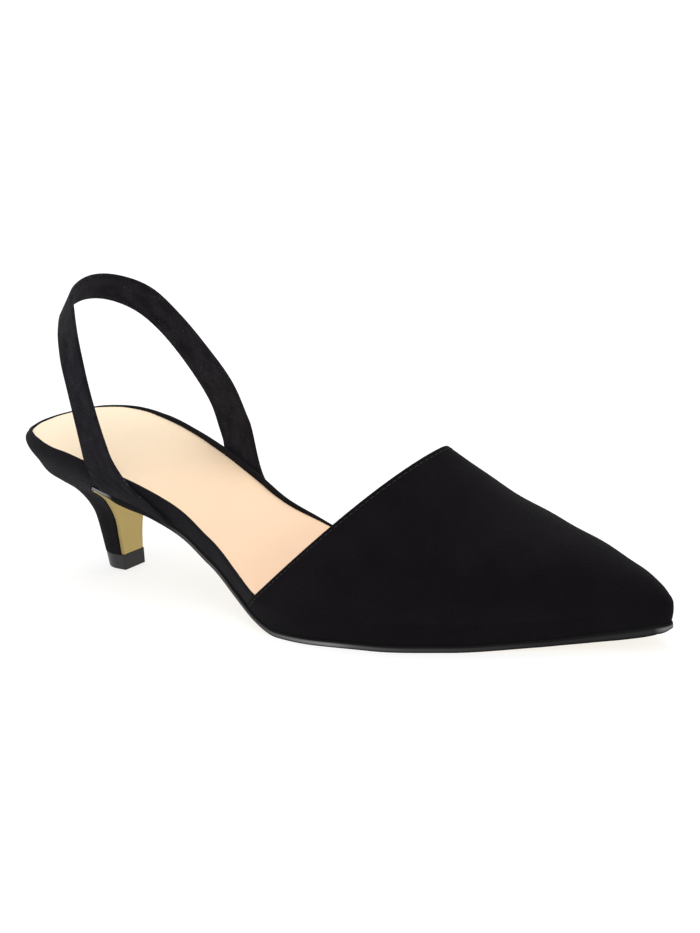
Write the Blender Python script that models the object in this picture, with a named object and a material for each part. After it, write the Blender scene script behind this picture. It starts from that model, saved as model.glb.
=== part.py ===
"""Right slingback pump with a low covered heel, as six separate solids.

Lengths are metres. In the last's frame x runs from the back of the seat to the
toe, y = 0 is the heel's axis with the medial side at +y, and z = 0 is the floor.
A parent empty then moves the shoe so that the origin is under the middle of it.
"""
import math

import bmesh
import bpy
import numpy as np

MM = 0.001

# Driving sizes of the last and of the shoe's materials
LENGTH = 250.0 * MM
BALL_WIDTH = 75.2 * MM
SEAT_HEIGHT = 42.0 * MM
INSTEP_HEIGHT = 57.3 * MM
BAND_HEIGHT = 9.3 * MM
HEEL_OVERHANG = 1.2 * MM
TOE_OVERHANG = 3.6 * MM
HEEL_ROUND = 29.5 * MM
TOE_ROUND = 9.0 * MM
RIDGE_ROUND = 14.4 * MM
WALL = 1.6 * MM
SOLE_THICKNESS = 2.2 * MM
FLAP_THICKNESS = 1.2 * MM
GAP = 0.3 * MM
CURVED_GAP = 0.5 * MM

# Throat: where the topline leaves the low wall, and where it crosses the ridge
THROAT_SIDE = 117.8 * MM
THROAT_TOP = 170.7 * MM
THROAT_CURVE = 0.98
RIDGE_SHIFT = 2.1 * MM

# Heel and top piece
TOP_PIECE_HEIGHT = 5.5 * MM
TOP_PIECE_TAPER = 0.94
SEAT_FRONT = 43.0 * MM
FLAP_MARGIN = 0.4 * MM
BREAST_SKEW = 0.07

# Strap
STRAP_THICKNESS = 1.5 * MM
STRAP_AXIS_X = 46.0 * MM

# Edges sharper than this are shaded as corners
SHARP_ANGLE = math.radians(40)

# Counts of mesh steps
REAR_STEPS = 24
VAMP_STEPS = 28
ARCH_STEPS = 12
BAND_ROWS = 4
HEEL_RINGS = 18
SEAT_STEPS = 14
FLAP_RINGS = 16
STRAP_STEPS_PER_POINT = 4
STRAP_ACROSS = 4


def table(names, rows):
    """Return the rows as one array for each named column."""
    columns = np.array(rows, dtype=float).T
    return dict(zip(names.split(), columns))


# Plan: along as a share of the length, middle line and half width as shares of the ball width
PLAN = table("along middle half", [
    (0.000, 0.005, 0.346),
    (0.144, -0.003, 0.346),
    (0.248, -0.017, 0.310),
    (0.320, -0.039, 0.288),
    (0.368, -0.063, 0.294),
    (0.424, -0.068, 0.350),
    (0.480, -0.064, 0.423),
    (0.580, -0.020, 0.500),
    (0.660, 0.011, 0.491),
    (0.760, 0.029, 0.392),
    (0.856, 0.058, 0.269),
    (0.932, 0.069, 0.168),
    (1.000, 0.061, 0.072),
])

# Side view: rise of the upper's foot line as a share of the seat's rise, the low wall's height as a
# share of the band, then in mm how far its foot is tucked in, its middle bulges and the sole's edge
# stands out from it, and the insole's and the sole's thickness
LEVELS = table("along rise band tuck bulge welt insole sole", [
    (0.000, 1.000, 1.090, 2.4, 1.4, 0.0, 9.2, 1.5),
    (0.100, 0.972, 1.045, 2.3, 1.1, 0.0, 8.5, 1.5),
    (0.200, 0.846, 0.915, 1.7, 0.3, 0.0, 7.1, 1.5),
    (0.300, 0.637, 0.858, 0.9, 0.0, 0.0, 6.4, 1.4),
    (0.400, 0.301, 0.832, 0.7, 0.0, 0.2, 6.2, 1.4),
    (0.468, 0.064, 0.823, 1.2, 0.0, 0.6, 6.6, 1.8),
    (0.512, 0.000, 0.850, 1.2, 0.0, 0.8, 5.4, 2.2),
    (0.580, 0.000, 0.850, 1.2, 0.0, 0.8, 2.5, 2.2),
    (0.752, 0.000, 0.774, 1.2, 0.0, 0.8, 2.3, 2.2),
    (0.860, 0.035, 0.710, 1.2, 0.0, 0.8, 2.2, 2.2),
    (1.000, 0.155, 0.560, 1.5, 0.0, 0.9, 2.2, 2.2),
])

# Ridge of the vamp above the low wall's level, as a share of its height at the throat
RIDGE = table("along height", [
    (0.660, 1.110),
    (0.720, 0.869),
    (0.780, 0.651),
    (0.840, 0.508),
    (0.900, 0.394),
    (0.952, 0.264),
    (1.000, 0.173),
])

# Heel sections: share of the height from top piece to seat, then back, front and half width in mm
HEEL = table("share back front half", [
    (0.000, 21.7, 32.2, 5.1),
    (0.173, 20.8, 32.4, 5.6),
    (0.396, 19.3, 33.0, 6.6),
    (0.507, 17.5, 33.4, 7.9),
    (0.618, 14.8, 34.1, 10.0),
    (0.702, 11.5, 34.8, 12.0),
    (0.800, 6.0, 35.7, 15.4),
    (0.897, 2.9, 37.2, 19.4),
    (1.000, 2.2, 42.0, 23.6),
])

# Strap between the two rims, from the lateral to the medial side: its middle line in mm, how far its
# front edge leans outward in degrees, and its half width in mm
STRAP_ROUTE = table("x y z lean half", [
    (47.6, -27.4, 50.5, 0, 5.9),
    (46.4, -28.4, 61.0, 0, 5.4),
    (43.8, -28.2, 74.2, -3, 5.2),
    (39.5, -25.4, 86.0, -15, 5.2),
    (32.6, -18.1, 94.6, -30, 5.2),
    (25.3, -8.2, 98.5, -32, 5.2),
    (22.8, 3.9, 99.9, -30, 5.2),
    (25.0, 14.6, 97.6, -21, 5.2),
    (32.3, 21.8, 92.1, -8, 5.4),
    (40.4, 25.4, 83.2, -1, 5.4),
    (50.4, 26.4, 71.7, 8, 6.1),
    (60.2, 25.9, 59.4, 21, 7.1),
    (66.2, 24.4, 47.2, 31, 7.9),
])

# Strap's tails on the low wall: share of the wall's height, then back and front edge in mm on each side
TAILS = table("share lateral_back lateral_front medial_back medial_front", [
    (0.04, 46.0, 75.5, 65.3, 92.5),
    (0.25, 45.2, 71.5, 64.2, 89.2),
    (0.50, 44.3, 66.3, 62.9, 85.3),
    (0.75, 43.3, 60.9, 61.6, 81.4),
    (1.00, 42.3, 55.2, 60.3, 77.5),
])

# Finish of each piece: display colour from 0 to 1, roughness
DISPLAY_GAMMA = 2.2
FINISHES = {
    "upper": ((0.08, 0.07, 0.08), 0.95),
    "sling_strap": ((0.14, 0.13, 0.14), 0.85),
    "insole": ((0.99, 0.88, 0.76), 0.45),
    "outsole": ((0.67, 0.59, 0.37), 0.55),
    "heel": ((0.10, 0.09, 0.10), 0.95),
    "top_piece": ((0.24, 0.22, 0.23), 0.40),
}


# Curves through the tables

def smooth(places, values):
    """Return a cubic through the rows that rises and falls only where they do."""
    steps = np.diff(places)
    slopes = np.diff(values) / steps
    tangents = np.concatenate([slopes[:1], np.zeros(len(slopes) - 1), slopes[-1:]])
    for i in range(1, len(slopes)):
        if slopes[i - 1] * slopes[i] > 0:
            before = 2 * steps[i] + steps[i - 1]
            after = steps[i] + 2 * steps[i - 1]
            tangents[i] = (before + after) / (before / slopes[i - 1] + after / slopes[i])

    def at(place):
        place = np.clip(np.asarray(place, dtype=float), places[0], places[-1])
        i = np.clip(np.searchsorted(places, place, side="right") - 1, 0, len(steps) - 1)
        t = (place - places[i]) / steps[i]
        start = values[i] * (1 + 2 * t) * (1 - t) ** 2 + tangents[i] * steps[i] * t * (1 - t) ** 2
        end = values[i + 1] * t * t * (3 - 2 * t) + tangents[i + 1] * steps[i] * t * t * (t - 1)
        return start + end

    return at


def end_round(distance, radius):
    """Return 1 away from an end, falling to 0 at it along an ellipse."""
    return np.sqrt(np.clip(1 - (1 - np.minimum(distance / radius, 1)) ** 2, 0, 1))


MIDDLE = smooth(PLAN["along"] * LENGTH, PLAN["middle"] * BALL_WIDTH)
FULL_HALF = smooth(PLAN["along"] * LENGTH, PLAN["half"] * BALL_WIDTH)
BACK = -HEEL_OVERHANG
FRONT = LENGTH + TOE_OVERHANG
FOREFOOT_FOOT = SOLE_THICKNESS + GAP
FOOT_HEIGHT = smooth(LEVELS["along"] * LENGTH,
                     FOREFOOT_FOOT + LEVELS["rise"] * (SEAT_HEIGHT - FOREFOOT_FOOT))
BAND = smooth(LEVELS["along"] * LENGTH, LEVELS["band"] * BAND_HEIGHT)
TUCK = smooth(LEVELS["along"] * LENGTH, LEVELS["tuck"] * MM)
BULGE = smooth(LEVELS["along"] * LENGTH, LEVELS["bulge"] * MM)
WELT = smooth(LEVELS["along"] * LENGTH, LEVELS["welt"] * MM)
INSOLE_THICKNESS = smooth(LEVELS["along"] * LENGTH, LEVELS["insole"] * MM)
SOLE_DEPTH = smooth(LEVELS["along"] * LENGTH, LEVELS["sole"] * MM)
HEEL_BACK = smooth(HEEL["share"], HEEL["back"] * MM)
HEEL_FRONT = smooth(HEEL["share"], HEEL["front"] * MM)
HEEL_HALF = smooth(HEEL["share"], HEEL["half"] * MM)


def rim_height(x):
    """Return the height of the low wall's top edge, which goes on as the vamp's widest line."""
    return FOOT_HEIGHT(x) + BAND(x)


RIDGE_RISE = smooth(RIDGE["along"] * LENGTH, RIDGE["height"] * (INSTEP_HEIGHT - rim_height(THROAT_TOP)))


def ridge_point(x):
    """Return the top of the vamp over one place along the shoe."""
    shift = RIDGE_SHIFT * (FRONT - x) / (FRONT - THROAT_TOP)
    height = rim_height(x) + RIDGE_RISE(x) * end_round(FRONT - x, RIDGE_ROUND)
    return np.stack([x, MIDDLE(x) + shift, height], axis=-1)


# The outline is a closed loop by angle: 0 at the back, pi at the toe, lateral side first

def angle_at(x):
    """Return the lateral side's angle for a place along the shoe."""
    return np.arccos(1 - 2 * (np.asarray(x) - BACK) / (FRONT - BACK))


def place_at(angle):
    """Return the place along the shoe for an angle."""
    return BACK + (FRONT - BACK) * (1 - np.cos(angle)) / 2


def widest_line(angle):
    """Return x and y of the shoe's widest line."""
    x = place_at(angle)
    half = FULL_HALF(x) * end_round(x - BACK, HEEL_ROUND) * end_round(FRONT - x, TOE_ROUND)
    return np.stack([x, MIDDLE(x) - np.sign(np.sin(angle)) * half], axis=-1)


def outline(angle, inset):
    """Return x and y of the widest line moved in by the inset, square to the line."""
    step = 0.001
    along = widest_line(angle + step) - widest_line(angle - step)
    along /= np.linalg.norm(along, axis=-1, keepdims=True)
    inward = np.stack([-along[..., 1], along[..., 0]], axis=-1)
    return widest_line(angle) + inward * np.asarray(inset)[..., None]


def wall_points(angle, share, inset=0.0):
    """Return points on the low wall at a share of its height, moved in by the inset."""
    angle = np.asarray(angle, dtype=float)
    x = place_at(angle)
    plan = outline(angle, TUCK(x) * (1 - share) ** 2 - 4 * BULGE(x) * share * (1 - share) + inset)
    height = FOOT_HEIGHT(x) + BAND(x) * share
    return np.concatenate([plan, height[..., None]], axis=-1)


def side_angles():
    """Return the lateral angles from the back to the toe, with one at the throat."""
    throat = angle_at(THROAT_SIDE)
    rear = np.linspace(0, throat, REAR_STEPS + 1)
    front = np.linspace(throat, math.pi, VAMP_STEPS + 1)
    return np.concatenate([rear, front[1:]])


def loop_angles():
    """Return the angles round the whole outline, back to toe to back."""
    side = side_angles()
    return np.concatenate([side, 2 * math.pi - side[-2:0:-1]])


# Meshes

def add_object(name, bm):
    """Turn the mesh into a named object with its own material."""
    mesh = bpy.data.meshes.new(name)
    bm.to_mesh(mesh)
    bm.free()
    mesh.shade_smooth()
    mesh.set_sharp_from_angle(angle=SHARP_ANGLE)
    colour, roughness = FINISHES[name]
    material = bpy.data.materials.new(name)
    material.use_nodes = True
    shader = material.node_tree.nodes["Principled BSDF"]
    shader.inputs["Base Color"].default_value = (*[channel ** DISPLAY_GAMMA for channel in colour], 1)
    shader.inputs["Roughness"].default_value = roughness
    shader.inputs["Metallic"].default_value = 0.0
    mesh.materials.append(material)
    obj = bpy.data.objects.new(name, mesh)
    bpy.context.scene.collection.objects.link(obj)
    return obj


def close_end(bm, ring):
    """Fill a closed ring with strips from each point to its partner across."""
    count = len(ring)
    for i in range(count // 2):
        corners = [ring[i], ring[i + 1], ring[count - 1 - i], ring[(count - i) % count]]
        bm.faces.new(list(dict.fromkeys(corners)))


def add_stack(name, rings):
    """Build a solid through closed rings of points, filled at both ends."""
    bm = bmesh.new()
    rows = [[bm.verts.new(point) for point in ring] for ring in rings]
    for lower, upper in zip(rows, rows[1:]):
        for i in range(len(lower)):
            j = (i + 1) % len(lower)
            bm.faces.new([lower[i], lower[j], upper[j], upper[i]])
    close_end(bm, rows[0])
    close_end(bm, rows[-1])
    bmesh.ops.recalc_face_normals(bm, faces=bm.faces)
    return add_object(name, bm)


# Upper

def arch_points(angle):
    """Return one row over the vamp, from the lateral widest line over the ridge to the medial one."""
    lateral = wall_points(angle, 1.0)
    medial = wall_points(2 * math.pi - angle, 1.0)
    progress = (place_at(angle) - THROAT_SIDE) / (FRONT - THROAT_SIDE)
    top = ridge_point(THROAT_TOP + progress * (FRONT - THROAT_TOP))
    row = []
    for turn in np.linspace(0, math.pi, 2 * ARCH_STEPS + 1):
        base = lateral if turn < math.pi / 2 else medial
        across = abs(math.cos(turn))
        up = math.sin(turn)
        x = base[0] + (top[0] - base[0]) * up ** THROAT_CURVE
        y = top[1] + (base[1] - top[1]) * across
        z = base[2] + (top[2] - base[2]) * up
        row.append((x, y, z))
    return row


def build_upper():
    """Build the vamp and the low wall as one shell with a real wall thickness."""
    bm = bmesh.new()
    angles = loop_angles()
    toe = REAR_STEPS + VAMP_STEPS
    rows = []
    for share in np.linspace(0, 1, BAND_ROWS + 1):
        rows.append([bm.verts.new(point) for point in wall_points(angles, share)])
    for lower, upper in zip(rows, rows[1:]):
        for i in range(len(angles)):
            j = (i + 1) % len(angles)
            bm.faces.new([lower[i], lower[j], upper[j], upper[i]])

    widest = rows[-1]
    arches = []
    for i in range(REAR_STEPS, toe):
        inner = [bm.verts.new(point) for point in arch_points(angles[i])[1:-1]]
        arches.append([widest[i], *inner, widest[2 * toe - i]])
    for back, front in zip(arches, arches[1:]):
        for k in range(2 * ARCH_STEPS):
            bm.faces.new([back[k], front[k], front[k + 1], back[k + 1]])
    for k in range(2 * ARCH_STEPS):
        bm.faces.new([arches[-1][k], widest[toe], arches[-1][k + 1]])

    upper = add_object("upper", bm)
    solidify = upper.modifiers.new("wall", "SOLIDIFY")
    solidify.thickness = WALL
    solidify.offset = -1
    solidify.use_even_offset = True
    return upper


# Insole

def build_insole():
    """Build the footbed, clear of the wall all round and of the sole below."""
    angles = loop_angles()
    x = place_at(angles)
    low = wall_points(angles, 0.0, WALL + CURVED_GAP)
    low[:, 2] = FOOT_HEIGHT(x) + GAP
    high_share = (GAP + INSOLE_THICKNESS(x)) / BAND(x)
    high = wall_points(angles, high_share, WALL + CURVED_GAP)
    return add_stack("insole", [low, high])


# Heel, top piece and outsole

def heel_section(ahead, width, share):
    """Return x and y round one section of the heel, its front turned a little to the lateral side."""
    y = width * HEEL_HALF(share) / HEEL_HALF(1.0)
    x = HEEL_BACK(share) + ahead * (HEEL_FRONT(share) - HEEL_BACK(share)) + BREAST_SKEW * ahead * y
    return x, y


def heel_ring(share):
    """Return a ring round the heel: the seat's outline scaled to the section's back, front and width."""
    angles = np.linspace(0, angle_at(SEAT_FRONT), SEAT_STEPS + 1)
    loop = np.concatenate([angles, 2 * math.pi - angles[:0:-1]])
    seat = wall_points(loop, 0.0)
    seat_back = seat[0, 0]
    ahead = (seat[:, 0] - seat_back) / (SEAT_FRONT - seat_back)
    x, y = heel_section(ahead, seat[:, 1], share)
    top, _ = heel_section(ahead, seat[:, 1], 1.0)
    joint = TOP_PIECE_HEIGHT + GAP
    z = joint + share * (FOOT_HEIGHT(top) - GAP - joint)
    return np.stack([x, y, z], axis=-1)


def build_heel():
    """Build the heel block from the top piece's joint up to the seat."""
    return add_stack("heel", [heel_ring(share) for share in np.linspace(0, 1, HEEL_RINGS)])


def build_top_piece():
    """Build the wear piece, flush with the heel block and with the flap in front of it."""
    ring = heel_ring(0.0)
    back = ring[0, 0]
    front = ring[:, 0].max()
    reach = front + GAP + FLAP_THICKNESS - back
    upper = ring.copy()
    upper[:, 0] = back + (ring[:, 0] - back) * reach / (front - back)
    upper[:, 2] = TOP_PIECE_HEIGHT
    lower = upper.copy()
    lower[:, 0] = back + reach - (back + reach - upper[:, 0]) * TOP_PIECE_TAPER
    lower[:, 1] *= TOP_PIECE_TAPER
    lower[:, 2] = 0.0
    return add_stack("top_piece", [lower, upper])


def build_outsole():
    """Build the sole from the toe to the waist and on down the front of the heel."""
    angles = side_angles()[-2::-1]
    plate = angles[place_at(angles) > SEAT_FRONT + SOLE_THICKNESS]
    x = place_at(plate)
    lateral = wall_points(plate, 0.0, -WELT(x))
    medial = wall_points(2 * math.pi - plate, 0.0, -WELT(x))
    lateral[:, 2] -= GAP
    medial[:, 2] -= GAP

    seat_corner = (SEAT_STEPS, SEAT_STEPS + 1)
    fronts = np.array([heel_ring(share)[list(seat_corner)] for share in np.linspace(1, 0, FLAP_RINGS)])
    fronts[:, 0, 1] += FLAP_MARGIN
    fronts[:, 1, 1] -= FLAP_MARGIN
    lateral = np.concatenate([lateral, fronts[:, 0]])
    medial = np.concatenate([medial, fronts[:, 1]])

    path = (lateral + medial) / 2
    along = np.gradient(path[:, [0, 2]], axis=0)
    along /= np.linalg.norm(along, axis=1, keepdims=True)
    outward = np.stack([-along[:, 1], np.zeros(len(path)), along[:, 0]], axis=1)
    clear = np.concatenate([np.zeros(len(plate)), np.full(FLAP_RINGS, GAP)])[:, None]
    depth = np.concatenate([SOLE_DEPTH(x), np.full(FLAP_RINGS, FLAP_THICKNESS)])[:, None]
    near = outward * clear
    far = outward * (clear + depth)
    rings = np.stack([lateral + near, medial + near, medial + far, lateral + far], axis=1)
    return add_stack("outsole", rings)


# Strap

def through_points(points, steps):
    """Return a smooth curve that passes through every point."""
    before = np.concatenate([2 * points[:1] - points[1:2], points[:-2]])
    after = np.concatenate([points[2:], 2 * points[-1:] - points[-2:-1]])
    curve = []
    for p0, p1, p2, p3 in zip(before, points[:-1], points[1:], after):
        for t in np.arange(steps) / steps:
            bend = (2 * p0 - 5 * p1 + 4 * p2 - p3) * t * t + (3 * p1 - p0 - 3 * p2 + p3) * t ** 3
            curve.append(p1 + ((p2 - p0) * t + bend) / 2)
    return np.array([*curve, points[-1]])


def strap_ring(inner, outer):
    """Return a closed ring from the strap's inner face and its outer face, both back to front."""
    return np.concatenate([inner, outer[::-1]])


def tail_rings(side):
    """Return rings of a tail that lies on the outside of the low wall, from its end to the rim."""
    rings = []
    for row, share in enumerate(TAILS["share"]):
        back = TAILS[side + "_back"][row] * MM
        front = TAILS[side + "_front"][row] * MM
        angles = angle_at(np.linspace(back, front, STRAP_ACROSS + 1))
        if side == "medial":
            angles = 2 * math.pi - angles
        inner = wall_points(angles, share, -CURVED_GAP)
        outer = wall_points(angles, share, -CURVED_GAP - STRAP_THICKNESS)
        rings.append(strap_ring(inner, outer))
    return rings


def free_rings():
    """Return rings of the strap between its tails, leaning and widening as the route says."""
    route = np.stack(list(STRAP_ROUTE.values()), axis=1)
    curve = through_points(route, STRAP_STEPS_PER_POINT)
    centre = curve[:, :3] * MM
    lean = np.radians(curve[:, 3:4])
    half = curve[:, 4] * MM
    along = np.gradient(centre, axis=0)
    along /= np.linalg.norm(along, axis=1, keepdims=True)
    level_out = centre * (1, 1, 0) - (STRAP_AXIS_X, 0, 0)
    level_out -= along * np.sum(level_out * along, axis=1, keepdims=True)
    level_out /= np.linalg.norm(level_out, axis=1, keepdims=True)
    level_across = np.cross(along, level_out)
    across = level_across * np.cos(lean) + level_out * np.sin(lean)
    out = level_out * np.cos(lean) - level_across * np.sin(lean)
    rings = []
    for i in range(len(centre)):
        shares = np.linspace(-1, 1, STRAP_ACROSS + 1)[:, None]
        line = centre[i] + across[i] * shares * half[i]
        lift = out[i] * STRAP_THICKNESS / 2
        rings.append(strap_ring(line - lift, line + lift))
    return rings


def build_strap():
    """Build the strap in one piece, from tail to tail."""
    return add_stack("sling_strap", [*tail_rings("lateral"), *free_rings(), *tail_rings("medial")[::-1]])


def main():
    """Build every piece and stand the shoe over the origin."""
    for obj in list(bpy.data.objects):
        bpy.data.objects.remove(obj)
    pieces = [build_upper(), build_strap(), build_insole(), build_outsole(), build_heel(), build_top_piece()]
    corners = np.array([vertex.co for piece in pieces for vertex in piece.data.vertices])
    low = corners.min(axis=0)
    high = corners.max(axis=0)
    shoe = bpy.data.objects.new("shoe", None)
    shoe.location = (-(low[0] + high[0]) / 2, -(low[1] + high[1]) / 2, -low[2])
    bpy.context.scene.collection.objects.link(shoe)
    for piece in pieces:
        piece.parent = shoe


main()
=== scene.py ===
"""Looks of the slingback pump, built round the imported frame.

Lengths are metres. Shapes are worked out in the last's frame, where x runs from the back of the
seat to the toe, +y is the medial side and z = 0 is the floor, and are then moved to the frame's place.
"""
import math

import bmesh
import bpy
import numpy as np
from mathutils import Matrix, Vector


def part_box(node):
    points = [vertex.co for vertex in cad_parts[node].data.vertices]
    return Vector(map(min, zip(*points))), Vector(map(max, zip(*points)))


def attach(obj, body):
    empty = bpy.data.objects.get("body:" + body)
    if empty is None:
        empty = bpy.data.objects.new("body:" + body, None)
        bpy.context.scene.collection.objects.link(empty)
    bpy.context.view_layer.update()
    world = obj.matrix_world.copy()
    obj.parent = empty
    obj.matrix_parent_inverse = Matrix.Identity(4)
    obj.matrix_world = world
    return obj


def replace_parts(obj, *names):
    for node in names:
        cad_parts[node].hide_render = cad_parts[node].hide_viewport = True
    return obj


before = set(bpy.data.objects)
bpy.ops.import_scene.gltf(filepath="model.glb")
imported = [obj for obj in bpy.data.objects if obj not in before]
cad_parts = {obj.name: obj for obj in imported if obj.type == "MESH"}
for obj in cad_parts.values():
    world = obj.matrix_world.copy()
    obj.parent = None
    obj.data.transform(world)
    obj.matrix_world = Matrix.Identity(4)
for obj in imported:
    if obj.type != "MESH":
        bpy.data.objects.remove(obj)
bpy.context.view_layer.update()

MM = 0.001

# Sizes of the last and of the shoe's materials
LENGTH = 250.0 * MM
BALL_WIDTH = 75.2 * MM
SEAT_HEIGHT = 42.0 * MM
INSTEP_HEIGHT = 57.3 * MM
BAND_HEIGHT = 9.3 * MM
HEEL_OVERHANG = 1.2 * MM
TOE_OVERHANG = 3.6 * MM
HEEL_ROUND = 29.5 * MM
TOE_ROUND = 9.0 * MM
RIDGE_ROUND = 14.4 * MM
WALL = 1.6 * MM
SOLE_THICKNESS = 2.2 * MM
FLAP_THICKNESS = 1.2 * MM
GAP = 0.3 * MM
CURVED_GAP = 0.5 * MM
THROAT_SIDE = 117.8 * MM
THROAT_TOP = 170.7 * MM
THROAT_CURVE = 0.98
RIDGE_SHIFT = 2.1 * MM
TOP_PIECE_HEIGHT = 5.5 * MM
TOP_PIECE_TAPER = 0.94
SEAT_FRONT = 43.0 * MM
FLAP_MARGIN = 0.4 * MM
BREAST_SKEW = 0.07
STRAP_THICKNESS = 1.5 * MM
STRAP_AXIS_X = 46.0 * MM

# Sizes of the details that only the looks have
CONTACT = 0.27 * MM
SEAM_LEAN = 6.5 * MM
VAMP_THICKNESS = 1.3 * MM
VAMP_FILL = 0.5 * MM
VAMP_FILL_START = 0.1
FACING = 4.0 * MM
LASTING_MARGIN = 2.0 * MM
RAND_INSET = 0.25 * MM
RAND_OVERLAP = 6.0 * MM
STITCH_EDGE = 1.7 * MM
STITCH_LENGTH = 1.7 * MM
STITCH_PITCH = 2.2 * MM
STITCH_RADIUS = 0.17 * MM
STITCH_GROOVE = 0.14 * MM
STITCH_GROOVE_WIDTH = 0.3 * MM
STITCH_START = 1.0 * MM
STITCH_ARCH = 0.16 * MM
STITCH_END = 0.55
LINING_THICKNESS = 0.4 * MM
LINING_CLEARANCE = 0.05 * MM
UNEVENNESS = 0.07 * MM
APEX_CURL = 0.5 * MM
APEX_REACH = 6.5 * MM
JOIN_DISTANCE = 0.001 * MM


def table(names, rows):
    """Return the rows as one array for each named column."""
    columns = np.array(rows, dtype=float).T
    return dict(zip(names.split(), columns))


# Plan: along as a share of the length, middle line and half width as shares of the ball width
PLAN = table("along middle half", [
    (0.000, 0.005, 0.346),
    (0.144, -0.003, 0.346),
    (0.248, -0.017, 0.310),
    (0.320, -0.039, 0.288),
    (0.368, -0.063, 0.294),
    (0.424, -0.068, 0.350),
    (0.480, -0.064, 0.423),
    (0.580, -0.020, 0.500),
    (0.660, 0.011, 0.491),
    (0.760, 0.029, 0.392),
    (0.856, 0.058, 0.269),
    (0.932, 0.069, 0.168),
    (1.000, 0.061, 0.072),
])

# Side view: rise of the upper's foot line as a share of the seat's rise, the low wall's height as a
# share of the band, then in mm how far its foot is tucked in, its middle bulges and the sole's edge
# stands out from it, and the insole's and the sole's thickness
LEVELS = table("along rise band tuck bulge welt insole sole", [
    (0.000, 1.000, 1.090, 2.4, 1.4, 0.0, 9.2, 1.5),
    (0.100, 0.972, 1.045, 2.3, 1.1, 0.0, 8.5, 1.5),
    (0.200, 0.846, 0.915, 1.7, 0.3, 0.0, 7.1, 1.5),
    (0.300, 0.637, 0.858, 0.9, 0.0, 0.0, 6.4, 1.4),
    (0.400, 0.301, 0.832, 0.7, 0.0, 0.2, 6.2, 1.4),
    (0.468, 0.064, 0.823, 1.2, 0.0, 0.6, 6.6, 1.8),
    (0.512, 0.000, 0.850, 1.2, 0.0, 0.8, 5.4, 2.2),
    (0.580, 0.000, 0.850, 1.2, 0.0, 0.8, 2.5, 2.2),
    (0.752, 0.000, 0.774, 1.2, 0.0, 0.8, 2.3, 2.2),
    (0.860, 0.035, 0.710, 1.2, 0.0, 0.8, 2.2, 2.2),
    (1.000, 0.155, 0.560, 1.5, 0.0, 0.9, 2.2, 2.2),
])

# Ridge of the vamp above the low wall's level, as a share of its height at the throat
RIDGE = table("along height", [
    (0.660, 1.110),
    (0.720, 0.869),
    (0.780, 0.656),
    (0.840, 0.514),
    (0.900, 0.399),
    (0.952, 0.264),
    (1.000, 0.157),
])

# Heel sections: share of the height from top piece to seat, then back, front and half width in mm
HEEL = table("share back front half", [
    (0.000, 21.7, 32.2, 5.1),
    (0.173, 20.8, 32.4, 5.6),
    (0.396, 19.3, 33.0, 6.6),
    (0.507, 17.5, 33.4, 7.9),
    (0.618, 14.8, 34.1, 10.0),
    (0.702, 11.5, 34.8, 12.0),
    (0.800, 6.0, 35.7, 15.4),
    (0.897, 2.9, 37.2, 19.4),
    (1.000, 2.2, 42.0, 23.6),
])

# Strap between the two rims, from the lateral to the medial side: its middle line in mm, how far its
# front edge leans outward in degrees, and its half width in mm
STRAP_ROUTE = table("x y z lean half", [
    (47.6, -27.4, 50.5, 0, 5.9),
    (46.4, -28.4, 61.0, 0, 5.4),
    (43.8, -28.2, 74.2, -3, 5.2),
    (39.5, -25.4, 86.0, -15, 5.2),
    (32.6, -18.1, 94.6, -30, 5.2),
    (25.3, -8.2, 98.5, -32, 5.2),
    (22.8, 3.9, 99.9, -30, 5.2),
    (25.0, 14.6, 97.6, -21, 5.2),
    (32.3, 21.8, 92.1, -8, 5.4),
    (40.4, 25.4, 83.2, -1, 5.4),
    (50.4, 26.4, 71.7, 8, 6.1),
    (60.2, 25.9, 59.4, 21, 7.1),
    (66.2, 24.4, 47.2, 31, 7.9),
])

# Strap's tails on the low wall: share of the wall's height, then back and front edge in mm on each side
TAILS = table("share lateral_back lateral_front medial_back medial_front", [
    (0.04, 46.0, 75.5, 65.3, 92.5),
    (0.25, 45.2, 71.5, 64.2, 89.2),
    (0.50, 44.3, 66.3, 62.9, 85.3),
    (0.75, 43.3, 60.9, 61.6, 81.4),
])


# Curves through the tables

def cubic(values, tangents, i, t, span):
    """Return values on the cubic from row i to the next, at a share t of the span between them."""
    start = values[i] * (1 + 2 * t) * (1 - t) ** 2 + tangents[i] * span * t * (1 - t) ** 2
    end = values[i + 1] * t * t * (3 - 2 * t) + tangents[i + 1] * span * t * t * (t - 1)
    return start + end


def smooth(places, values):
    """Return a curve through the rows that rises and falls only where they do."""
    steps = np.diff(places)
    slopes = np.diff(values) / steps
    tangents = np.concatenate([slopes[:1], np.zeros(len(slopes) - 1), slopes[-1:]])
    for i in range(1, len(slopes)):
        if slopes[i - 1] * slopes[i] > 0:
            before = 2 * steps[i] + steps[i - 1]
            after = steps[i] + 2 * steps[i - 1]
            tangents[i] = (before + after) / (before / slopes[i - 1] + after / slopes[i])

    def at(place):
        place = np.clip(np.asarray(place, dtype=float), places[0], places[-1])
        i = np.clip(np.searchsorted(places, place, side="right") - 1, 0, len(steps) - 1)
        return cubic(values, tangents, i, (place - places[i]) / steps[i], steps[i])

    return at


def side_value(rows, side, x):
    """Return what a table in mm says for one side of the shoe, at places along it."""
    return smooth(rows["along"] * MM, rows[side] * MM)(x)


def level_curve(name, scale):
    """Return a column of the side view as a curve along the shoe."""
    return smooth(LEVELS["along"] * LENGTH, LEVELS[name] * scale)


def end_round(distance, radius):
    """Return 1 away from an end, falling to 0 at it along an ellipse."""
    return np.sqrt(np.clip(1 - (1 - np.minimum(distance / radius, 1)) ** 2, 0, 1))


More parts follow.
